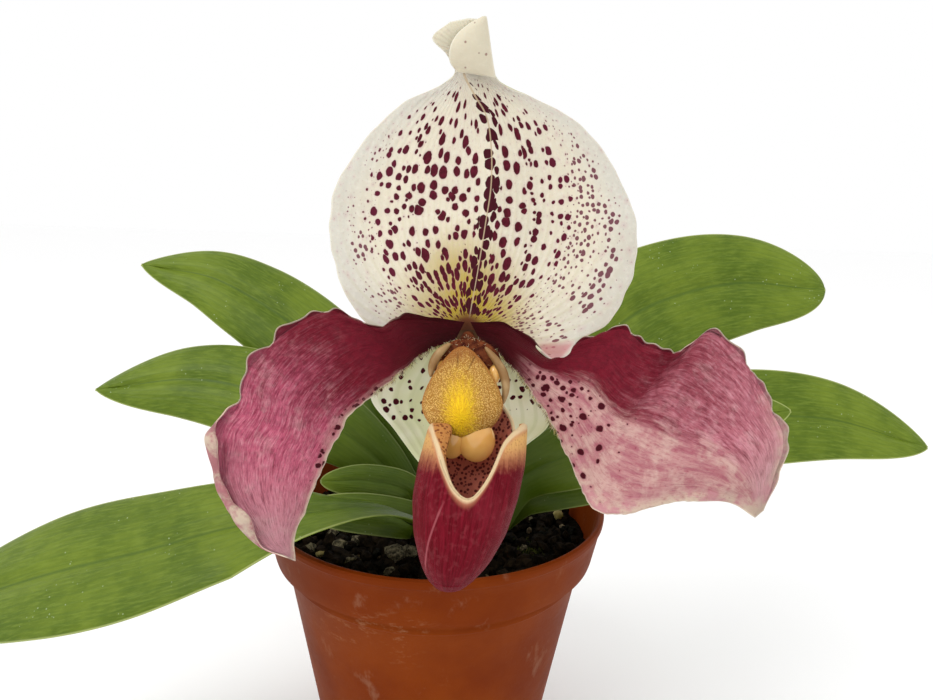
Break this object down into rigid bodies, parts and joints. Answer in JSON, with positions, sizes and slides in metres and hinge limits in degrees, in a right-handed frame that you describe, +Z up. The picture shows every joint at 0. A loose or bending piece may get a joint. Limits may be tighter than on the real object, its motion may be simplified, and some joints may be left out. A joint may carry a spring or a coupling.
{
  "type": "potted paphiopedilum orchid",
  "caption": "Slipper orchid in flower: spotted standing sepal, two spreading petals and a pouch-shaped lip over a fan of strap leaves in a round plastic pot.",
  "frame": {"origin": "centre of the pot's flat underside", "axes": "+Z up, the flower looks towards -Y, +X to the right of someone facing the flower"},
  "size_m": [0.2978, 0.1577, 0.2291],
  "materials": {
    "terracotta_plastic": "satin, lightly scuffed",
    "potting_mix": "coarse damp bark and grit",
    "leaf_green": "satin living leaf",
    "stem_green": "short-haired living stem",
    "sepal_white": "soft matt living petal, cream with maroon spots",
    "petal_rose": "soft living petal, crimson fading to rose",
    "lip_crimson": "satin living petal, crimson",
    "shield_gold": "grainy waxy golden shield"
  },
  "bodies": {
    "root": {"pot": "terracotta_plastic", "potting_mix": "potting_mix", "crown": "leaf_green", "leaf_back_left": "leaf_green", "leaf_mid_left": "leaf_green", "leaf_inner_left": "leaf_green", "leaf_low_left": "leaf_green", "leaf_front_left": "leaf_green", "leaf_back_right": "leaf_green", "leaf_mid_right": "leaf_green", "leaf_low_right": "leaf_green", "leaf_inner_right": "leaf_green", "scape": "stem_green", "bract": "leaf_green", "ovary": "stem_green", "dorsal_sepal": "sepal_white", "synsepal": "sepal_white", "petal_left": "petal_rose", "petal_right": "petal_rose", "lip": "lip_crimson", "staminode": "shield_gold", "column": "shield_gold"}
  },
  "joints": []
}
